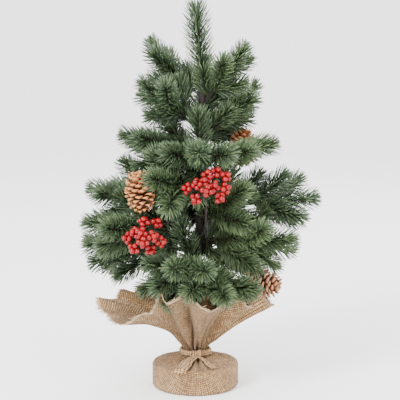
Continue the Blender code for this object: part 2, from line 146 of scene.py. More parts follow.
# Shoots that fill a sprig: start from its foot in mm, spread from its axis, turn about it, length in mm
FILLER_SHOOTS = {
    "long": (
        (-6, 36, 90, 84),
        (8, 34, -90, 80),
        (-28, 46, 25, 76),
        (-30, 46, 205, 76),
        (-44, 66, 75, 62),
        (-44, 66, -75, 62),
    ),
    "short": (
        (0, 40, -90, 58),
        (-16, 52, 160, 54),
    ),
}
# Shoots bent to fill single gaps: branch, start from its sprig's foot in mm, azimuth, elevation, length in mm
GAP_SHOOTS = (
    (4, -12, 186, 58, 74),
    (4, -28, 190, 67, 84),
    (11, -20, 215, 8, 90),
    (16, 0, 204, -16, 92),
    (18, -34, 200, -23, 100),
    (18, 0, 188, -17, 96),
    (20, -6, 200, -22, 98),
    (20, 0, 224, -20, 88),
    (21, -8, 318, -6, 112),
    (17, -20, 318, -24, 92),
    (19, -30, 350, -20, 96),
    (14, -24, 112, -22, 84),
    (14, -24, 74, -30, 84),
    (19, -40, 96, 4, 84),
)
# How much of its forward lean a filling shoot keeps where the front of the tree has been pressed flat
FRONT_FLATTENING = 0.35
# Branches without filling shoots, which would hide the upper right cone or hang over the burlap
SPARSE_BRANCHES = (9, 21)
# Branches whose needles are the paler green of new growth
FRESH_BRANCHES = {1: 0.3, 5: 0.3, 8: 0.12, 9: 0.4, 11: 0.25, 15: 0.45, 16: 0.2, 17: 0.45, 20: 0.15, 21: 0.3}

# Burlap: azimuth round the tree, rise of the flared cloth in degrees, and its length above the neck in mm
SKIRT = (
    (28, 24, 142), (50, 30, 130), (66, 30, 128), (85, 28, 138), (105, 22, 154), (125, 24, 142),
    (143, 8, 132), (164, 10, 142), (183, 13, 152), (199, 4, 136), (212, 2, 114), (223, 22, 102),
    (236, 52, 118), (252, 48, 114), (268, 42, 112), (288, 37, 116), (300, 40, 112), (316, 43, 102),
    (336, 40, 106), (352, 34, 116),
)
# Narrow pleats on the front: azimuth, half width in degrees, height in mm
PLEATS = ((243, 7, 14), (260, 6, -9), (281, 6, 10), (318, 8, -8))
NECK_RISE_ANGLE = 68
RIM_ROUNDING = 4 * MM
CLOTH_COLUMNS = 400
SKIRT_ROWS = 46
GATHERS = 23
GATHER_DEPTH = 4.1 * MM
FOLD_DEPTH = 18 * MM
RIPPLE_DEPTH = 11 * MM
WRINKLE_SEED = 5
THREAD_PITCH = 3.4 * MM
CLOTH_THICKNESS = 1.1 * MM
TIE_THICKNESS = 0.9 * MM
# Tails of the tie: azimuth, width, radius of the free end, and sway to the side
TIE_TAILS = ((250, 19 * MM, 68 * MM, 2 * MM), (297, 9 * MM, 62 * MM, -2 * MM))
TAIL_ROWS = 22

TAPE_PITCH = 9 * MM
TAPE_LAP = 0.45 * MM
TAPE_CRINKLE = 0.35 * MM

WORLD_STRENGTH = 2.9
# Lights: name, place, size and power
LIGHTS = (
    ("key", (-1.3, -1.7, 1.7), 0.8, 125.0),
    ("fill", (1.6, -1.5, 1.1), 1.2, 30.0),
    ("rim", (0.6, 1.6, 1.6), 1.0, 26.0),
)
LIGHT_TARGET = (0.0, 0.0, 0.3)
CAMERA_TARGET = (0.0072, 0.0, 0.2875)
CAMERA_AZIMUTH = 270
CAMERA_ELEVATION = 9
CAMERA_DISTANCE = 2.15
CAMERA_LENS = 128.3
FLOOR_REACH = 4.0


def unit(vector):
    """Vectors scaled to unit length along their last axis."""
    vector = np.asarray(vector, float)
    return vector / np.linalg.norm(vector, axis=-1, keepdims=True)


def direction(azimuth, elevation):
    """Unit vector at an azimuth and an elevation in degrees."""
    around, up = math.radians(azimuth), math.radians(elevation)
    return np.array((math.cos(up) * math.cos(around), math.cos(up) * math.sin(around), math.sin(up)))


def turned(first, second, angle):
    """A unit vector turned by an angle in radians towards another that is square to it."""
    return first * math.cos(angle) + second * math.sin(angle)


def across(axis, roll=0.0):
    """Two unit vectors square to an axis: one level, one upward, both turned about it by roll degrees."""
    level = np.cross((0.0, 0.0, 1.0), axis)
    if np.linalg.norm(level) < 0.01:
        level = np.array((0.0, 1.0, 0.0))
    level = unit(level)
    upward = np.cross(axis, level)
    level = turned(level, upward, math.radians(roll))
    return level, np.cross(axis, level)


def trunk_point(height):
    """Centre of the leaning trunk at a height."""
    return np.array((math.tan(TRUNK_LEAN) * height, 0.0, height))


def tape_radius(height):
    """Outside radius of the trunk's tape at a height."""
    share = (height - BASE_HEIGHT) / (TRUNK_TOP - BASE_HEIGHT)
    return TAPE_FOOT_RADIUS + (TAPE_TOP_RADIUS - TAPE_FOOT_RADIUS) * share


def root_point(height, azimuth):
    """Centre of a wire's rounded root against the tape."""
    return trunk_point(height) + direction(azimuth, 0) * (tape_radius(height) + GAP + STEM_ROOT_RADIUS)


# ---------------------------------------------------------------- node materials


def put(tree, kind, inputs=None, **options):
    """Add a node. Inputs are numbers or the sockets that feed them."""
    made = tree.nodes.new(kind)
    for key, value in options.items():
        setattr(made, key, value)
    for key, value in (inputs or {}).items():
        if isinstance(value, bpy.types.NodeSocket):
            tree.links.new(value, made.inputs[key])
        else:
            made.inputs[key].default_value = value
    return made


def calculate(tree, operation, *values):
    """Result of a Math node."""
    return put(tree, "ShaderNodeMath", dict(enumerate(values)), operation=operation).outputs[0]


def calculate_vector(tree, operation, inputs):
    """Result of a Vector Math node."""
    return put(tree, "ShaderNodeVectorMath", inputs, operation=operation).outputs[0]


def mixed(tree, factor, first, second, blend="MIX"):
    """Mix of two colours."""
    inputs = {0: factor, 6: first, 7: second}
    return put(tree, "ShaderNodeMix", inputs, data_type="RGBA", blend_type=blend).outputs[2]


def ramp(tree, factor, *stops):
    """Colour ramp through (position, colour) stops."""
    made = put(tree, "ShaderNodeValToRGB", {0: factor})
    elements = made.color_ramp.elements
    for number, (position, colour) in enumerate(stops):
        element = elements[number] if number < 2 else elements.new(position)
        element.position = position
        element.color = (*colour, 1.0)
    return made.outputs[0]


def noise_value(tree, scale, detail=3.0, rough=0.5, vector=None):
    """Noise in object space, or over another vector."""
    place = vector or put(tree, "ShaderNodeTexCoord").outputs["Object"]
    inputs = {"Vector": place, "Scale": scale, "Detail": detail, "Roughness": rough}
    return put(tree, "ShaderNodeTexNoise", inputs).outputs["Fac"]


def attribute(tree, name):
    """A value that a mesh carries on its points."""
    return put(tree, "ShaderNodeAttribute", attribute_name=name).outputs["Fac"]


def bumped(tree, height, distance, strength=1.0, under=None):
    """Normal from a height."""
    inputs = {"Height": height, "Distance": distance, "Strength": strength}
    if under is not None:
        inputs["Normal"] = under
    return put(tree, "ShaderNodeBump", inputs).outputs["Normal"]


def start_material(name, roughness, **shader_values):
    """A material with a Principled shader, and its node tree."""
    made = bpy.data.materials.new(name)
    made.use_nodes = True
    shader = made.node_tree.nodes["Principled BSDF"]
    shader.inputs["Roughness"].default_value = roughness
    for key, value in shader_values.items():
        shader.inputs[key.replace("_", " ")].default_value = value
    return made, made.node_tree


def cover(made, colour, normal):
    """The material, once a colour and a normal feed its shader."""
    inputs = made.node_tree.nodes["Principled BSDF"].inputs
    made.node_tree.links.new(colour, inputs["Base Color"])
    made.node_tree.links.new(normal, inputs["Normal"])
    return made


def grained_material(name, roughness, patches, dark, pale, grain, distance, strength, **shader_values):
    """A material mottled from dark to pale by one noise, and raised by another."""
    made, tree = start_material(name, roughness, **shader_values)
    colour = ramp(tree, noise_value(tree, *patches), (0.3, dark), (0.7, pale))
    return cover(made, colour, bumped(tree, noise_value(tree, *grain), distance, strength))


def needle_material():
    """Moulded plastic needles, each its own green, with paler new growth, and painted shade towards each root
    and painted light at each tip.
    """
    made, tree = start_material("moulded needles", 0.42, Specular_IOR_Level=0.35)
    dark = ramp(
        tree,
        attribute(tree, "shade"),
        (0.0, (0.026, 0.048, 0.026)),
        (0.55, (0.048, 0.078, 0.040)),
        (1.0, (0.088, 0.124, 0.060)),
    )
    fresh = ramp(
        tree,
        attribute(tree, "shade"),
        (0.0, (0.066, 0.106, 0.040)),
        (1.0, (0.140, 0.190, 0.074)),
    )
    own = mixed(tree, attribute(tree, "fresh"), dark, fresh)
    # Painted shade and light: each needle is darkened towards its root, where shade falls inside the sprig,
    # and brightened past its own green at its tip.
    depth = ramp(
        tree,
        attribute(tree, "tip"),
        (0.0, (0.22, 0.22, 0.20)),
        (0.5, (0.80, 0.80, 0.80)),
        (1.0, (1.25, 1.25, 1.20)),
    )
    colour = mixed(tree, 1.0, own, depth, "MULTIPLY")
    grain = noise_value(tree, 900, 2)
    return cover(made, colour, bumped(tree, grain, 0.0002, 0.4))


def twig_material():
    """Brown-green moulded twig between the needles."""
    dark, pale = (0.028, 0.022, 0.010), (0.070, 0.055, 0.024)
    return grained_material("moulded twig", 0.6, (260, 4), dark, pale, (700, 3), 0.0004, 0.6)


def tape_material():
    """Crinkled dark brown paper tape."""
    made, tree = start_material("floral tape", 0.78, Specular_IOR_Level=0.25)
    crinkle = noise_value(tree, 420, 6, 0.65)
    patches = noise_value(tree, 60, 3)
    fine = calculate(tree, "MULTIPLY", crinkle, 0.6)
    broad = calculate(tree, "MULTIPLY", patches, 0.4)
    colour = ramp(
        tree,
        calculate(tree, "ADD", fine, broad),
        (0.35, (0.009, 0.007, 0.006)),
        (0.55, (0.022, 0.016, 0.013)),
        (0.72, (0.060, 0.046, 0.038)),
    )
    return cover(made, colour, bumped(tree, crinkle, 0.0008, 0.8))


def weave_heights(tree):
    """Height of a plain weave over the flat cloth, a number for each crossing, and the flat coordinates."""
    flat = put(tree, "ShaderNodeUVMap", uv_map="flat").outputs["UV"]
    wander = put(tree, "ShaderNodeTexNoise", {"Vector": flat, "Scale": 55.0, "Detail": 2.0})
    shift = calculate_vector(tree, "SUBTRACT", {0: wander.outputs["Color"], 1: (0.5, 0.5, 0.5)})
    scaled = calculate_vector(tree, "SCALE", {0: shift, "Scale": 1.1 * THREAD_PITCH})
    moved = calculate_vector(tree, "ADD", {0: flat, 1: scaled})
    split = put(tree, "ShaderNodeSeparateXYZ", {0: moved})
    threads = []
    cells = []
    for axis in (0, 1):
        place = calculate(tree, "DIVIDE", split.outputs[axis], THREAD_PITCH)
        wave = calculate(tree, "SINE", calculate(tree, "MULTIPLY", place, math.pi))
        threads.append(calculate(tree, "ABSOLUTE", wave))
        cells.append(calculate(tree, "FLOOR", place))
    parity = calculate(tree, "MODULO", calculate(tree, "ABSOLUTE", calculate(tree, "ADD", *cells)), 2.0)
    heights = []
    for over, along in ((threads[0], threads[1]), (threads[1], threads[0])):
        crown = calculate(tree, "MULTIPLY_ADD", along, 0.5, 0.5)
        heights.append(calculate(tree, "MULTIPLY", calculate(tree, "POWER", over, 0.6), crown))
    swap = calculate(tree, "GREATER_THAN", parity, 0.5)
    keep = calculate(tree, "SUBTRACT", 1.0, swap)
    height = calculate(
        tree,
        "ADD",
        calculate(tree, "MULTIPLY", heights[0], keep),
        calculate(tree, "MULTIPLY", heights[1], swap),
    )
    crossing = put(tree, "ShaderNodeCombineXYZ", {0: cells[0], 1: cells[1]}).outputs[0]
    uneven = put(tree, "ShaderNodeTexWhiteNoise", {"Vector": crossing}).outputs["Value"]
    return height, uneven, flat


def burlap_material():
    """Coarse plain-woven jute with uneven threads and pale fibres, and painted shade in the dark gaps between
    the threads.
    """
    made, tree = start_material("burlap", 0.92, Specular_IOR_Level=0.2, Sheen_Weight=0.1)
    height, uneven, flat = weave_heights(tree)
    stretched = []
    for scale in ((40.0, 420.0, 1.0), (420.0, 40.0, 1.0)):
        along = put(tree, "ShaderNodeMapping", {"Vector": flat, "Scale": scale}).outputs[0]
        stretched.append(noise_value(tree, 1.0, 2, 0.5, along))
    slubs = calculate(tree, "MULTIPLY", calculate(tree, "ADD", *stretched), 0.5)
    patches = noise_value(tree, 14, 4, 0.6, flat)
    woven = calculate(tree, "MULTIPLY_ADD", uneven, 0.1, calculate(tree, "MULTIPLY", slubs, 0.64))
    tone = calculate(tree, "MULTIPLY_ADD", patches, 0.26, woven)
    jute = ramp(
        tree,
        tone,
        (0.36, (0.170, 0.086, 0.034)),
        (0.50, (0.350, 0.198, 0.084)),
        (0.64, (0.600, 0.395, 0.205)),
    )
    # Painted shade: the weave's low places between and beside the threads are darkened by their height.
    gaps = ramp(tree, height, (0.22, (0.05, 0.033, 0.02)), (0.70, (1.0, 1.0, 1.0)))
    colour = mixed(tree, 1.0, jute, gaps, "MULTIPLY")
    fibres = noise_value(tree, 2600, 3, 0.7)
    under = bumped(tree, fibres, 0.0004, 0.35)
    return cover(made, colour, bumped(tree, height, 0.0018, 1.0, under))


def thread_material():
    """Loose jute threads at the frayed edges."""
    dark, pale = (0.300, 0.190, 0.100), (0.560, 0.410, 0.250)
    sheen = {"Sheen_Weight": 0.2}
    return grained_material("jute threads", 0.9, (300, 3), dark, pale, (1800, 2), 0.0002, 0.5, **sheen)


def cone_material(name, dark, middle, pale):
    """Dry pine cone scales with a rough grain: dark inside, partly their own darker brown and partly painted
    shade between the scales, and lighter at the tips.
    """
    made, tree = start_material(name, 0.72, Specular_IOR_Level=0.3)
    grain = noise_value(tree, 380, 5, 0.65)
    wander = calculate(tree, "SUBTRACT", grain, 0.5)
    reach = calculate(tree, "MULTIPLY_ADD", wander, 0.5, attribute(tree, "tip"))
    # The dark root stop is partly painted shade where the scales overlap.
    colour = ramp(tree, reach, (0.25, dark), (0.68, middle), (0.95, pale))
    height = calculate(tree, "ADD", grain, noise_value(tree, 1100, 2))
    return cover(made, colour, bumped(tree, height, 0.0006, 0.6))


def berry_material():
    """Red lacquered foam: glossy, with a faintly uneven skin and a dark crown."""
    gloss = {"Specular_IOR_Level": 0.2, "Coat_Weight": 0.2, "Coat_Roughness": 0.03}
    made, tree = start_material("red lacquer", 0.3, **gloss)
    patches = noise_value(tree, 150, 3)
    red = ramp(tree, patches, (0.3, (0.150, 0.001, 0.003)), (0.7, (0.270, 0.002, 0.005)))
    colour = mixed(tree, attribute(tree, "tip"), red, (0.05, 0.012, 0.008, 1.0))
    return cover(made, colour, bumped(tree, noise_value(tree, 420, 2), 0.0003, 0.25))


def plastic_material():
    """Moulded black plastic with fine scuffs."""
    dark, pale = (0.012, 0.012, 0.012), (0.030, 0.030, 0.031)
    return grained_material("black plastic", 0.5, (90, 5), dark, pale, (1200, 2), 0.0001, 0.4)


def cement_material():
    """Cast cement whose dark speckles are sunk."""
    dark, pale = (0.230, 0.225, 0.215), (0.480, 0.470, 0.450)
    return grained_material("cement", 0.93, (330, 6, 0.7), dark, pale, (330, 6, 0.7), 0.001, 0.6)


def steel_material():
    """Drawn steel wire with fine lines along it."""
    made, tree = start_material("drawn steel", 0.34, Metallic=1.0)
    place = put(tree, "ShaderNodeTexCoord").outputs["Object"]
    along = put(tree, "ShaderNodeMapping", {"Vector": place, "Scale": (900.0, 900.0, 20.0)}).outputs[0]
    lines = noise_value(tree, 1.0, 3, 0.6, along)
    colour = ramp(tree, lines, (0.3, (0.36, 0.36, 0.37)), (0.7, (0.56, 0.56, 0.57)))
    return cover(made, colour, bumped(tree, lines, 0.0001, 0.4))


# ---------------------------------------------------------------- mesh pieces


def mesh_piece(name, points, faces, materials, values=None, numbers=None):
    """An object from points and faces, with named values on its points and a material number per face."""
    mesh = bpy.data.meshes.new(name)
    mesh.from_pydata([tuple(p) for p in points], [], faces)
    for finish in materials:
        mesh.materials.append(finish)
    for key, per_point in (values or {}).items():
        store = mesh.attributes.new(key, "FLOAT", "POINT")
        store.data.foreach_set("value", np.asarray(per_point, np.float32))
    if numbers is not None:
        mesh.polygons.foreach_set("material_index", np.asarray(numbers, np.int32))
    mesh.shade_smooth()
    mesh.update()
    made = bpy.data.objects.new(name, mesh)
    bpy.context.scene.collection.objects.link(made)
    return made


def place_piece(piece, body, slot, *nodes):
    """Ride a piece on its body and let it stand for CAD nodes; the slot it is given is not used."""
    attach(piece, body)
    if nodes:
        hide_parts(*nodes)
    return piece


class Shell:
    """Points, faces and point values that several small shapes add to."""

    def __init__(self):
        self.points = []
        self.faces = []
        self.numbers = []
        self.values = {}
        self.count = 0

    def add(self, points, faces, number=0, **values):
        """Add one shape: points (n, 3), faces as index lists, and a value per point or for them all."""
        points = np.asarray(points, float).reshape(-1, 3)
        self.points.append(points)
        self.faces.extend([tuple(int(i) + self.count for i in face) for face in faces])
        self.numbers.extend([number] * len(faces))
        for key, value in values.items():
            self.values.setdefault(key, []).append(np.broadcast_to(value, (len(points),)).astype(float))
        self.count += len(points)

    def tube(self, line, radii, sides, number=0, **values):
        """Add a round tube along a line."""
        self.add(tube_points(line, radii, sides), tube_faces(len(line), sides), number, **values)

    def piece(self, name, materials):
        """The finished object."""
        joined = {key: np.concatenate(parts) for key, parts in self.values.items()}
        return mesh_piece(name, np.concatenate(self.points), self.faces, materials, joined, self.numbers)


def tube_faces(rings, sides, closed_ends=True):
    """Faces of a tube whose points run ring by ring."""
    faces = []
    for ring in range(rings - 1):
        for side in range(sides):
            a = ring * sides + side
            b = ring * sides + (side + 1) % sides
            faces.append((a, b, b + sides, a + sides))
    if closed_ends:
        faces.append(tuple(reversed(range(sides))))
        faces.append(tuple(range((rings - 1) * sides, rings * sides)))
    return faces


def tube_points(line, radii, sides):
    """Points of a round tube along a line."""
    line = np.asarray(line, float)
    tangent = unit(np.gradient(line, axis=0))
    level, upward = across(tangent[0])
    rings = []
    for point, along, radius in zip(line, tangent, radii):
        level = unit(level - along * (level @ along))
        upward = np.cross(along, level)
        angles = math.tau * np.arange(sides) / sides
        rings.append(point + radius * (np.cos(angles)[:, None] * level + np.sin(angles)[:, None] * upward))
    return np.concatenate(rings)


def sheet_faces(rows, columns, closed=False):
    """Quads over a grid of points whose columns may join up."""
    faces = []
    for row in range(rows - 1):
        for column in range(columns if closed else columns - 1):
            a = row * columns + column
            b = row * columns + (column + 1) % columns
            faces.append((a, b, b + columns, a + columns))
    return faces


# ---------------------------------------------------------------- foliage


def shoot_line(start, axis, length, sag, shares):
    """Points and directions of a shoot that curves slightly as it goes."""
    shares = np.asarray(shares)[:, None]
    points = start + axis * length * shares + sag * shares ** 2
    return points, unit(axis * length + 2 * sag * shares)


def add_needles(shell, start, axis, length, sag, fresh, needle_share, seed):
    """Cover one shoot with needles that lean towards its tip."""
    chance = np.random.RandomState(seed)
    count = int(length / NEEDLE_PITCH)
    shares = (np.arange(count) + 0.5) / count
    reach = 1 - NEEDLE_SETBACK / length
    roots, tangent = shoot_line(start, axis, length, sag, 0.02 + (reach - 0.02) * shares)
    level, upward = across(axis)
    angles = GOLDEN_ANGLE * np.arange(count) + chance.uniform(-0.25, 0.25, count)
    radial = np.cos(angles)[:, None] * level + np.sin(angles)[:, None] * upward
    lean = np.radians(50 - 28 * shares ** 6 + chance.uniform(-4, 4, count))
    pointing = unit(tangent * np.cos(lean)[:, None] + radial * np.sin(lean)[:, None])
    size = NEEDLE_LENGTH * needle_share * chance.uniform(0.90, 1.04, count)
    size *= 0.78 + 0.22 * np.minimum(1, shares / 0.15)
    size *= 1 - 0.45 * np.clip((shares - 0.88) / 0.12, 0, 1)
    side = unit(np.cross(pointing, tangent))
    back = np.cross(side, pointing)
    curl = tangent * (0.07 * size)[:, None]
    rings = []
    for share, girth in NEEDLE_GIRTHS:
        middle = roots + pointing * (size * share)[:, None] + curl * share ** 2
        half = NEEDLE_WIDTH / 2 * girth
        rings.append(np.stack((middle - side * half, middle + side * half, middle + back * half * 0.8), 1))
    points = np.stack(rings, 1)
    faces = []
    per_needle = 3 * len(NEEDLE_GIRTHS)
    for first in range(0, count * per_needle, per_needle):
        for a in range(first, first + per_needle - 3, 3):
            faces.append((a, a + 1, a + 4, a + 3))
            faces.append((a + 1, a + 2, a + 5, a + 4))
            faces.append((a + 2, a, a + 3, a + 5))
        faces.append(tuple(range(first + per_needle - 3, first + per_needle)))
    shade = np.repeat(chance.uniform(0, 1, count), per_needle)
    tip = np.tile(np.repeat([share for share, _ in NEEDLE_GIRTHS], 3), count)
    own = np.clip(fresh + chance.uniform(-0.15, 0.15, count), 0, 1)
    shell.add(points, faces, 0, shade=shade, tip=tip, fresh=np.repeat(own, per_needle))


def add_twig(shell, start, axis, length, sag):
    """The moulded twig inside a shoot."""
    shares = np.linspace(0, 1 - 0.8 * NEEDLE_SETBACK / length, 10)
    line, _ = shoot_line(start, axis, length, sag, shares)
    radii = TWIG_RADIUS * (1.25 - 0.75 * shares)
    shell.tube(line, radii, 8, 1, shade=0.5, tip=0.0, fresh=0.0)


def build_spray(name, shoots, fresh, seed, needle_share, materials):
    """One sprig of needle-covered shoots as a single piece."""
    shell = Shell()
    chance = np.random.RandomState(seed)
    for number, (start, axis, length) in enumerate(shoots):
        level, upward = across(axis)
        sag = upward * chance.uniform(0.0, 5 * MM) + level * chance.uniform(-3 * MM, 3 * MM)
        if number == 0:
            sag = sag * 0.6
        add_twig(shell, start, axis, length, sag)
        add_needles(shell, start, axis, length, sag, fresh, needle_share, seed * 20 + number)
    return shell.piece(name, materials)


def branch_shoots(drop, azimuth, elevation, reach, roll, sprig, sparse=False):
    """Start, axis and length of each shoot on a branch."""
    middle_length, side_length, side_starts = SPRIGS[sprig]
    root = root_point(TRUNK_TOP - drop * MM, azimuth)
    axis = direction(azimuth, elevation)
    foot = root + axis * (reach * MM - middle_length)
    shoots = [(foot, axis, middle_length)]
    level, _ = across(axis, roll)
    for side, start in zip((-1, 1), side_starts):
        side_axis = turned(axis, level * side, SIDE_SHOOT_SPREAD)
        shoots.append((foot + axis * start, side_axis, side_length))
    if sparse:
        return shoots
    bare = reach * MM - middle_length
    for start, spread, turn, length in FILLER_SHOOTS[sprig]:
        if bare + start * MM < 0:
            continue
        begin = max(start * MM, 4 * MM - bare)
        aside, _ = across(axis, roll + turn)
        pointing = turned(axis, aside, math.radians(spread))
        if pointing[1] < 0:
            pointing = unit(pointing * (1.0, FRONT_FLATTENING, 1.0))
        shoots.append((foot + axis * begin, pointing, length * MM))
    return shoots


def build_foliage(materials):
    """Every branch's spray and the leader's."""
    for number, branch in enumerate(BRANCHES, 1):
        label = "branch_{:02d}".format(number)
        fresh = FRESH_BRANCHES.get(number, 0.08)
        shoots = branch_shoots(*branch, sparse=number in SPARSE_BRANCHES)
        foot, axis, _ = shoots[0]
        for owner, start, azimuth, elevation, length in GAP_SHOOTS:
            if owner == number:
                shoots.append((foot + axis * start * MM, direction(azimuth, elevation), length * MM))
        spray = build_spray(label + "_needles", shoots, fresh, number, NEEDLE_SHARES[branch[-1]], materials)
        place_piece(spray, label, "needles", label + "_spray")
    root = trunk_point(TRUNK_TOP + GAP + STEM_ROOT_RADIUS)
    axis = direction(LEADER_AZIMUTH, LEADER_ELEVATION)
    length = LEADER_STEM + GAP + LEADER_LENGTH
    spray = build_spray("leader_needles", [(root, axis, length)], 0.1, 99, NEEDLE_SHARES["leader"], materials)
    place_piece(spray, "leader", "needles", "leader_spray")


# ---------------------------------------------------------------- pine cones


def scale_shape(width, length, thickness):
    """Closed woody scale along +X with its thick rhombic tip outward: points, faces, how far out each is."""
    rows, columns = 9, 7
    v = np.linspace(0, 1, rows)[:, None]
    u = np.linspace(-1, 1, columns)[None, :]
    half = width / 2 * (0.30 + 0.70 * np.sin(np.pi * v ** 1.4 * 0.78) ** 0.8)
    half = half * np.where(v > 0.8, np.sqrt(np.clip(1 - ((v - 0.8) / 0.215) ** 2, 0.02, 1)), 1)
    deep = thickness * (0.18 + 0.82 * np.exp(-((v - 0.86) / 0.13) ** 2))
    x = length * (v - 0.05 * u ** 2 * v) + 0 * u
    y = half * u
    cup = -0.12 * width * (1 - u ** 2) * v
    top = cup + deep * 0.5 * (1 - 0.75 * u ** 2)
    bottom = cup - deep * 0.5 * (1 - 0.75 * u ** 2)
    knob = 0.35 * thickness * np.exp(-((v - 0.9) / 0.05) ** 2 - (u / 0.35) ** 2)
    bottom = bottom - knob
    upper = np.stack((x, y, top), -1).reshape(-1, 3)
    lower = np.stack((x, y, bottom), -1).reshape(-1, 3)
    faces = sheet_faces(rows, columns)
    under = [tuple(i + rows * columns for i in reversed(face)) for face in faces]
    rim = [row * columns for row in range(rows)]
    rim += [(rows - 1) * columns + column for column in range(1, columns)]
    rim += [row * columns + columns - 1 for row in range(rows - 2, -1, -1)]
    rim += list(range(columns - 2, 0, -1))
    side = []
    for here, there in zip(rim, rim[1:] + rim[:1]):
        side.append((here, there, there + rows * columns, here + rows * columns))
    tip = np.tile((v + 0 * u).reshape(-1), 2)
    return np.concatenate((upper, lower)), faces + under + side, tip


def cone_outline(share):
    """Radius of a cone's outline at a share of its length."""
    shares = (0.0, 0.12, 0.3, 0.5, 0.72, 0.9, 1.0)
    radii = (0.42, 0.80, 1.0, 0.98, 0.82, 0.55, 0.30)
    return CONE_RADIUS * np.interp(share, shares, radii)


def build_cone(label, materials):
    """A pine cone of separate overlapping scales in a spiral, wide open at its foot and closed at its tip."""
    drop, offset, axis, finish = CONES[label]
    axis = unit(axis)
    centre = trunk_point(TRUNK_TOP - drop * MM) + np.array(offset) * MM
    foot = centre - axis * (CONE_LENGTH / 2)
    level, upward = across(axis)
    shell = Shell()
    chance = np.random.RandomState(len(label))
    core_line = [foot + axis * CONE_LENGTH * share for share in (0.03, 0.2, 0.5, 0.8, 0.93)]
    shell.tube(core_line, np.array((4, 7, 6.5, 4.5, 1.5)) * MM, 10, tip=0.0)
    for number in range(CONE_SCALES):
        share = (number / (CONE_SCALES - 1)) ** 0.92
        angle = GOLDEN_ANGLE * number
        out = turned(level, upward, angle)
        opening = math.radians(np.interp(share, (0, 0.12, 0.3, 0.6, 0.85, 1), (112, 92, 74, 56, 36, 12)))
        opening += math.radians(chance.uniform(-5, 5))
        inner = np.interp(share, (0, 0.2, 0.8, 1), (1.5, 4.0, 3.0, 0.8)) * MM
        length = (cone_outline(share) - inner) / max(math.sin(opening), 0.55)
        length *= chance.uniform(0.93, 1.05)
        width = np.interp(share, (0, 0.15, 0.4, 0.7, 1), (6.5, 9.5, 12.5, 10.5, 6.0)) * MM
        thickness = np.interp(share, (0, 0.2, 0.6, 1), (3.6, 3.8, 3.0, 1.8)) * MM
        points, faces, tip = scale_shape(width, length, thickness)
        pointing = turned(axis, out, opening)
        side = unit(np.cross(axis, out))
        normal = np.cross(pointing, side)
        start = foot + axis * CONE_LENGTH * (0.06 + 0.74 * share) + out * inner
        bend = (points[:, 0] / length) ** 2 * 0.10 * length
        placed = (
            start
            + points[:, :1] * pointing
            + points[:, 1:2] * side
            + (points[:, 2:3] - bend[:, None] * (0.6 - share)) * normal
        )
        shell.add(placed, faces, 0, tip=tip)
    cone = shell.piece("pinecone_" + label + "_scales", [materials[finish]])
    place_piece(cone, "pinecone_" + label, "cone_wood", "pinecone_" + label)


# ---------------------------------------------------------------- berries


def berry_shape(axis):
    """A ball with a small dimpled crown at its outer end: points, faces and how dark each point is."""
    rings, sides = 11, 14
    level, upward = across(axis)
    points = []
    dark = []
    for ring in range(rings):
        polar = math.pi * (ring + 0.02) / (rings - 0.96)
        radius = BERRY_RADIUS * math.sin(polar)
        reach = BERRY_RADIUS * 1.04 * math.cos(polar)
        if ring == 0:
            reach -= 0.35 * MM
        for side in range(sides):
            angle = math.tau * side / sides
            points.append(axis * reach + radius * turned(level, upward, angle))
            dark.append(1.0 if ring == 0 else 0.0)
    return np.array(points), tube_faces(rings, sides), np.array(dark)


def spread_apart(centres, distance):
    """Push apart ball centres that are nearer each other than a distance, a little at a time."""
    for _ in range(60):
        gaps = centres[:, None] - centres[None]
        far = np.linalg.norm(gaps, axis=-1) + np.eye(len(centres))
        push = np.clip(distance - far, 0, None) / 2
        np.fill_diagonal(push, 0)
        centres = centres + (gaps / far[..., None] * push[..., None]).sum(1) * 0.6
    return centres


def build_pick(label, red, tape):
    """A head of berries on thin wires."""
    drop, offset, bunches = PICKS[label]
    hub = trunk_point(TRUNK_TOP - drop * MM) + np.array(offset) * MM
    centres = []
    owners = []
    bunches = bunches + MIDDLE_BUNCHES[label]
    for number, bunch in enumerate(bunches):
        centre = hub + np.array(bunch) * MM
        axis = unit(centre - hub)
        level, upward = across(axis)
        centres.append(centre + axis * BERRY_RADIUS)
        owners.append(number)
        for i in range(4):
            angle = math.tau * i / 4 + number
            around = turned(level, upward, angle)
            centres.append(centre + around * BERRY_RADIUS * 1.45 - axis * BERRY_RADIUS * 0.4)
            owners.append(number)
    centres = spread_apart(np.array(centres), 2.03 * BERRY_RADIUS)
    balls = Shell()
    wires = Shell()
    for number, bunch in enumerate(bunches):
        fork = hub + np.array(bunch) * MM * 0.62
        line = [hub + (fork - hub) * share for share in np.linspace(0, 1, 5)]
        wires.tube(line, [0.9 * MM] * 5, 8)
        for centre, owner in zip(centres, owners):
            if owner != number:
                continue
            axis = unit(centre - fork)
            points, faces, dark = berry_shape(axis)
            balls.add(points + centre, faces, 0, tip=dark)
            stalk = [fork + (centre - fork) * share for share in np.linspace(0, 1, 4)]
            wires.tube(stalk, [0.6 * MM] * 4, 6)
    body = "berry_pick_" + label
    place_piece(balls.piece(body + "_berries", [red]), body, "berry_red", body + "_head")
    place_piece(wires.piece(body + "_stalks", [tape]), body, "wire_tape")


# ---------------------------------------------------------------- burlap


def around_values(azimuths, column):
    """A column of the skirt's layout, eased smoothly round the tree."""
    table = np.array(SKIRT, float)
    places = np.concatenate((table[-1:, 0] - 360, table[:, 0], table[:1, 0] + 360))
    values = np.concatenate((table[-1:, column], table[:, column], table[:1, column]))
    azimuths = np.mod(azimuths - places[0], 360) + places[0]
    index = np.clip(np.searchsorted(places, azimuths, side="right") - 1, 0, len(places) - 2)
    share = (azimuths - places[index]) / (places[index + 1] - places[index])
    ease = share * share * (3 - 2 * share)
    return values[index] * (1 - ease) + values[index + 1] * ease


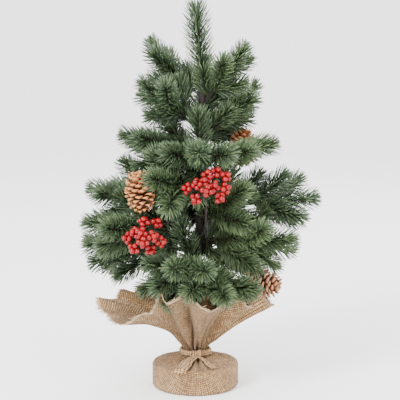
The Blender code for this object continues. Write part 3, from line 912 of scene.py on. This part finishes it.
def cloth_rows():
    """Rows of the cloth from its middle to the top of the neck: radius, height and part."""
    rows = []
    flat_radius = BASE_RADIUS - BASE_ROUNDING
    for share in np.linspace(0.12, 1, 7):
        rows.append((flat_radius * share, 0.0, "floor"))
    for angle in np.linspace(0, math.pi / 2, 5)[1:]:
        radius = flat_radius + BASE_ROUNDING * math.sin(angle)
        rows.append((radius, BASE_ROUNDING * (1 - math.cos(angle)), "side"))
    top = BASE_HEIGHT - RIM_ROUNDING
    for share in np.linspace(0, 1, 11)[1:]:
        rows.append((BASE_RADIUS, BASE_ROUNDING + (top - BASE_ROUNDING) * share, "side"))
    for angle in np.linspace(0, math.pi / 2, 5)[1:]:
        radius = BASE_RADIUS - RIM_ROUNDING * (1 - math.cos(angle))
        rows.append((radius, top + RIM_ROUNDING * math.sin(angle), "side"))
    start = BASE_RADIUS - RIM_ROUNDING
    for share in np.linspace(0, 1, 17)[1:]:
        height = BASE_HEIGHT + (NECK_HEIGHT - BASE_HEIGHT) * share
        rows.append((start + (NECK_RADIUS - start) * share, height, "top"))
    for share in np.linspace(0, 1, 7)[1:]:
        rows.append((NECK_RADIUS, NECK_HEIGHT + NECK_LENGTH * share, "neck"))
    return rows


def cloth_points():
    """Points of the gathered cloth row by row, and their flat coordinates."""
    azimuths = 360 * np.arange(CLOTH_COLUMNS) / CLOTH_COLUMNS
    turn = np.radians(azimuths)
    outward = np.stack((np.cos(turn), np.sin(turn), 0 * turn), -1)
    up = np.array((0.0, 0.0, 1.0))
    gather = np.sin(GATHERS * turn + 1.3 * np.sin(3 * turn + 1.0) + 0.8 * np.sin(5 * turn))
    folds = 0.62 * np.sin(9 * turn + 0.7 + 0.9 * np.sin(2 * turn)) + 0.38 * np.sin(14 * turn + 2.1)
    ripple = np.sin(21 * turn + 1.1 * np.sin(4 * turn) + 0.4)
    calm = 1 - 0.85 * np.exp(-((azimuths - 250) / 84) ** 6)
    pleats = sum(high * MM * np.exp(-((azimuths - middle) / half) ** 2) for middle, half, high in PLEATS)
    points = []
    flat = []
    walked = 0.0
    before = None
    for radius, height, part in cloth_rows():
        if before is not None:
            walked += math.hypot(radius - before[0], height - before[1])
        else:
            walked = radius
        before = (radius, height)
        inward = 0.0
        lift = 0.0
        if part == "side":
            swell = math.sin(math.pi * min(1.0, height / BASE_HEIGHT))
            inward = 0.5 * MM * swell * (1 + np.sin(7 * turn + 2 * np.sin(2 * turn)))
        if part == "top":
            share = (BASE_RADIUS - radius) / (BASE_RADIUS - NECK_RADIUS)
            lift = GATHER_DEPTH * share ** 0.8 * (gather - 1) * 0.75
            inward = GATHER_DEPTH * share ** 3 * (1 - gather)
        if part == "neck":
            inward = GATHER_DEPTH * (1 - gather)
        ring = outward * np.reshape(radius - inward, (-1, 1))
        points.append(ring + up * (height + np.broadcast_to(lift, turn.shape)[:, None]))
        flat.append(walked * outward[:, :2])
    final_rise = around_values(azimuths, 1)
    length = around_values(azimuths, 2) * MM
    length = length + 1.5 * MM * np.sin(31 * turn) * np.sin(17 * turn + 1)
    place = outward * NECK_RADIUS + up * (NECK_HEIGHT + NECK_LENGTH)
    for row in range(1, SKIRT_ROWS + 1):
        run = length * row / SKIRT_ROWS
        rise = np.radians(final_rise + (NECK_RISE_ANGLE - final_rise) * np.exp(-(run / (52 * MM)) ** 1.5))
        onward = outward * np.cos(rise)[:, None] + up * np.sin(rise)[:, None]
        place = place + onward * (length / SKIRT_ROWS)[:, None]
        down = outward * np.sin(rise)[:, None] - up * np.cos(rise)[:, None]
        settle = np.minimum(1, run / (14 * MM))
        fine = GATHER_DEPTH * np.exp(-run / (75 * MM)) * gather
        wide = FOLD_DEPTH * (1 - np.exp(-(run / (55 * MM)) ** 1.5)) * folds * calm
        small = RIPPLE_DEPTH * (1 - np.exp(-run / (35 * MM))) * ripple * calm
        small = small + pleats * (1 - np.exp(-run / (30 * MM)))
        start_inward = -GATHER_DEPTH * (1 - settle)
        points.append(place + down * (fine + wide + small + start_inward)[:, None])
        flat.append((walked + run)[:, None] * outward[:, :2])
    return np.array(points), np.array(flat)


def wrinkled(points, flat, depth):
    """The points with small uneven wrinkles, as deep as each row's depth."""
    noise.seed_set(WRINKLE_SEED)
    rows, columns, _ = points.shape
    moved = points.copy()
    for row in range(rows):
        if depth[row] <= 0:
            continue
        for column in range(columns):
            place = Vector((*flat[row, column] * 26, 0.3))
            moved[row, column] += np.array(noise.noise_vector(place)) * depth[row]
    return moved


def set_flat_map(piece, flat):
    """Store the cloth's flat coordinates, in metres, as its UV map."""
    store = piece.data.uv_layers.new(name="flat")
    corners = np.zeros(len(piece.data.loops), np.int32)
    piece.data.loops.foreach_get("vertex_index", corners)
    store.data.foreach_set("uv", flat.reshape(-1, 2)[corners].astype(np.float32).ravel())


def thicken(piece, thickness, offset):
    """Give a sheet its thickness."""
    shell = piece.modifiers.new("thickness", "SOLIDIFY")
    shell.thickness = thickness
    shell.offset = offset


def build_fringe(edge, outward, threads):
    """Loose threads along the cut edge of the cloth."""
    shell = Shell()
    chance = np.random.RandomState(7)
    count = len(edge)
    for number in range(count * 4):
        place = number / 4
        here = int(place) % count
        share = place - int(place)
        start = edge[here] * (1 - share) + edge[(here + 1) % count] * share
        tangent = unit(edge[(here + 1) % count] - edge[here])
        size = chance.uniform(2.5, 7.0) * MM
        if chance.uniform() < 0.08:
            size *= 1.8
        pointing = unit(outward[here] + tangent * chance.uniform(-0.7, 0.7) + chance.normal(0, 0.18, 3))
        droop = np.array((0.0, 0.0, -1.0)) * size * chance.uniform(0.0, 0.35)
        line = []
        for step in (-0.3, 0.2, 0.6, 1.0):
            line.append(start + pointing * size * step + droop * max(0.0, step) ** 2)
        shell.tube(line, np.array((0.42, 0.46, 0.4, 0.2)) * MM, 4)
    fringe = shell.piece("burlap_fringe", [threads])
    return place_piece(fringe, "root", "burlap")


def build_burlap(burlap, threads):
    """The gathered square of cloth round the base, with its frayed edge."""
    points, flat = cloth_points()
    rows, columns, _ = points.shape
    depths = np.array((0.0, 0.5, 0.7, 1.4, 1.8, 4.5)) * MM
    depth = np.interp(np.arange(rows), (9, 13, 24, 44, 52, rows - 1), depths)
    neck = [i for i, row in enumerate(cloth_rows()) if row[2] in ("floor", "neck")]
    depth[neck] = 0.0
    points = wrinkled(points, flat, depth)
    faces = sheet_faces(rows, columns, True)
    faces.append(tuple(reversed(range(columns))))
    cloth = mesh_piece("burlap_cloth", points.reshape(-1, 3), faces, [burlap])
    set_flat_map(cloth, flat)
    thicken(cloth, CLOTH_THICKNESS, -1.0)
    place_piece(cloth, "root", "burlap", "burlap_wrap")
    outward = unit(points[-1] - points[-3])
    fringe = build_fringe(points[-1], outward, threads)


def ribbon(shell, flats, line, width_axis, width, curl, flat_start):
    """A strip of cloth along a line, slightly curled across its width."""
    columns = 9
    line = np.asarray(line)
    tangent = unit(np.gradient(line, axis=0))
    u = np.linspace(-1, 1, columns)
    rows = []
    for step, (point, along, wide) in enumerate(zip(line, tangent, width_axis)):
        normal = np.cross(along, wide)
        spread = width[step] / 2
        rows.append(point + u[:, None] * spread * wide + (curl * spread * (1 - u ** 2))[:, None] * normal)
    run = np.concatenate(([0], np.cumsum(np.linalg.norm(np.diff(line, axis=0), axis=1))))
    flat = np.stack(np.broadcast_arrays(u[None, :] * width[0] / 2, flat_start + run[:, None]), -1)
    shell.add(np.concatenate(rows), sheet_faces(len(line), columns))
    flats.append(flat.reshape(-1, 2))


def build_tie(burlap):
    """The rolled strip of cloth round the neck, its knot and its two tails."""
    shell = Shell()
    flats = []
    ring_radius = NECK_RADIUS + GAP + 2.6 * MM
    middle = NECK_HEIGHT + 4.3 * MM
    turns = 96
    around = 17
    points = []
    flat = []
    for step in range(turns + 1):
        turn = math.tau * step / turns
        outward = np.array((math.cos(turn), math.sin(turn), 0.0))
        for i in range(around):
            angle = math.radians(-165 + 330 * i / (around - 1))
            wave = 1 + 0.07 * math.sin(9 * turn + 2 * angle) + 0.05 * math.sin(23 * turn + angle)
            x = math.cos(angle) * 2.4 * MM * wave
            z = math.sin(angle + 0.12 * math.sin(5 * turn)) * 4.0 * MM * wave
            points.append(outward * (ring_radius + x) + np.array((0.0, 0.0, middle + z)))
            flat.append((angle * 3.3 * MM, turn * ring_radius))
    shell.add(points, sheet_faces(turns + 1, around))
    flats.append(np.array(flat))
    front = np.array((0.0, -1.0, 0.0))
    knot_centre = front * (ring_radius + 0.5 * MM) + np.array((2 * MM, 0.0, middle))
    line = []
    for angle in np.radians(np.linspace(-200, 140, 30)):
        line.append(
            knot_centre
            + front * (math.cos(angle) * 5.6 * MM + 1.5 * MM)
            + np.array((0.9 * MM * math.sin(2 * angle), 0.0, math.sin(angle) * 6.6 * MM))
        )
    width_axis = [np.array((1.0, 0.0, 0.12))] * len(line)
    ribbon(shell, flats, line, unit(width_axis), [12 * MM] * len(line), 0.35, 0.2)
    for azimuth, wide, end_radius, sway in TIE_TAILS:
        aim = direction(azimuth, 0)
        side = np.array((-aim[1], aim[0], 0.0))
        start = knot_centre + front * 4 * MM - np.array((0.0, 0.0, 2 * MM))
        line = []
        for share in np.linspace(0, 1, TAIL_ROWS):
            radius = 30 * MM + (end_radius - 30 * MM) * share
            slope = (BASE_RADIUS - radius) / (BASE_RADIUS - NECK_RADIUS)
            height = BASE_HEIGHT + (NECK_HEIGHT - BASE_HEIGHT) * min(1.0, slope) + 1.8 * MM
            if radius > BASE_RADIUS - 2 * MM:
                height -= (radius - BASE_RADIUS + 2 * MM) * 1.2
            lying = aim * radius + np.array((0.0, 0.0, height + 0.8 * MM * math.sin(9 * share)))
            ease = min(1.0, share / 0.3)
            line.append(start * (1 - ease) + lying * ease + side * sway * math.sin(3 * share))
        widths = [wide * (0.62 + 0.38 * min(1.0, share / 0.4)) for share in np.linspace(0, 1, TAIL_ROWS)]
        ribbon(shell, flats, line, [side] * TAIL_ROWS, widths, 0.10, 0.5)
    strip = shell.piece("burlap_tie_strip", [burlap])
    set_flat_map(strip, np.concatenate(flats))
    thicken(strip, TIE_THICKNESS, 0.0)
    place_piece(strip, "root", "burlap", "burlap_tie")


# ---------------------------------------------------------------- trunk and base


def build_trunk(tape):
    """The trunk's tape as an overlapping spiral wrap with crinkles."""
    sides, rows = 44, 400
    top = TRUNK_TOP - 2 * MM
    axis = unit(trunk_point(1.0))
    level, upward = across(axis)
    points = []
    for row in range(rows):
        height = TAPE_FOOT + (top - TAPE_FOOT) * row / (rows - 1)
        for side in range(sides):
            turn = math.tau * side / sides
            phase = (height / TAPE_PITCH - side / sides) % 1.0
            lap = TAPE_LAP * (1 - phase) ** 2
            place = Vector((math.cos(turn) * 3, math.sin(turn) * 3, height * 260))
            crinkle = TAPE_CRINKLE * noise.noise(place)
            radius = tape_radius(height) - 0.1 * MM + lap + crinkle
            points.append(trunk_point(height) + radius * turned(level, upward, turn))
    wrap = mesh_piece("trunk_tape_wrap", points, tube_faces(rows, sides), [tape])
    place_piece(wrap, "root", "wire_tape", "trunk_tape")


def finish_cad_nodes(finishes):
    """Give each CAD node that stays its procedural material."""
    for name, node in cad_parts.items():
        if node.hide_render:
            continue
        for key, finish in finishes:
            if key in name:
                node.data.materials.clear()
                node.data.materials.append(finish)
                break


# ---------------------------------------------------------------- stage


def build_stage():
    """Pale floor, soft light and the camera."""
    mesh = bpy.data.meshes.new("floor")
    corners = [(x * FLOOR_REACH, y * FLOOR_REACH, 0) for x, y in ((-1, -1), (1, -1), (1, 1), (-1, 1))]
    mesh.from_pydata(corners, [], [(0, 1, 2, 3)])
    floor = bpy.data.objects.new("floor", mesh)
    bpy.context.scene.collection.objects.link(floor)
    finish, _ = start_material("pale floor", 0.9, Base_Color=(0.93, 0.93, 0.93, 1.0))
    mesh.materials.append(finish)
    world = bpy.data.worlds.new("studio")
    world.use_nodes = True
    sky = world.node_tree.nodes["Background"]
    sky.inputs["Color"].default_value = (1.0, 1.0, 1.0, 1.0)
    sky.inputs["Strength"].default_value = WORLD_STRENGTH
    bpy.context.scene.world = world
    for name, place, wide, power in LIGHTS:
        light = bpy.data.lights.new(name, "AREA")
        light.energy = power
        light.size = wide
        lamp = bpy.data.objects.new(name, light)
        lamp.location = place
        lamp.rotation_mode = "QUATERNION"
        lamp.rotation_quaternion = (Vector(LIGHT_TARGET) - lamp.location).to_track_quat("-Z", "Y")
        bpy.context.scene.collection.objects.link(lamp)
    camera = bpy.data.objects.new("camera", bpy.data.cameras.new("camera"))
    back = Vector(direction(CAMERA_AZIMUTH, CAMERA_ELEVATION))
    camera.location = Vector(CAMERA_TARGET) + back * CAMERA_DISTANCE
    camera.rotation_mode = "QUATERNION"
    camera.rotation_quaternion = (-back).to_track_quat("-Z", "Y")
    camera.data.sensor_width = 36
    camera.data.lens = CAMERA_LENS
    bpy.context.scene.collection.objects.link(camera)
    bpy.context.scene.camera = camera


tape = tape_material()
burlap = burlap_material()
threads = thread_material()
build_foliage([needle_material(), twig_material()])
cone_finishes = {}
for finish_name, shades in CONE_SHADES.items():
    cone_finishes[finish_name] = cone_material("pine cone " + finish_name, *shades)
for cone_label in CONES:
    build_cone(cone_label, cone_finishes)
red = berry_material()
for pick_label in PICKS:
    build_pick(pick_label, red, tape)
build_burlap(burlap, threads)
build_tie(burlap)
build_trunk(tape)
finish_cad_nodes(
    (
        ("base_tub", plastic_material()),
        ("cement_weight", cement_material()),
        ("trunk_pole", steel_material()),
        ("_stem", tape),
        ("_wire", tape),
    )
)
build_stage()
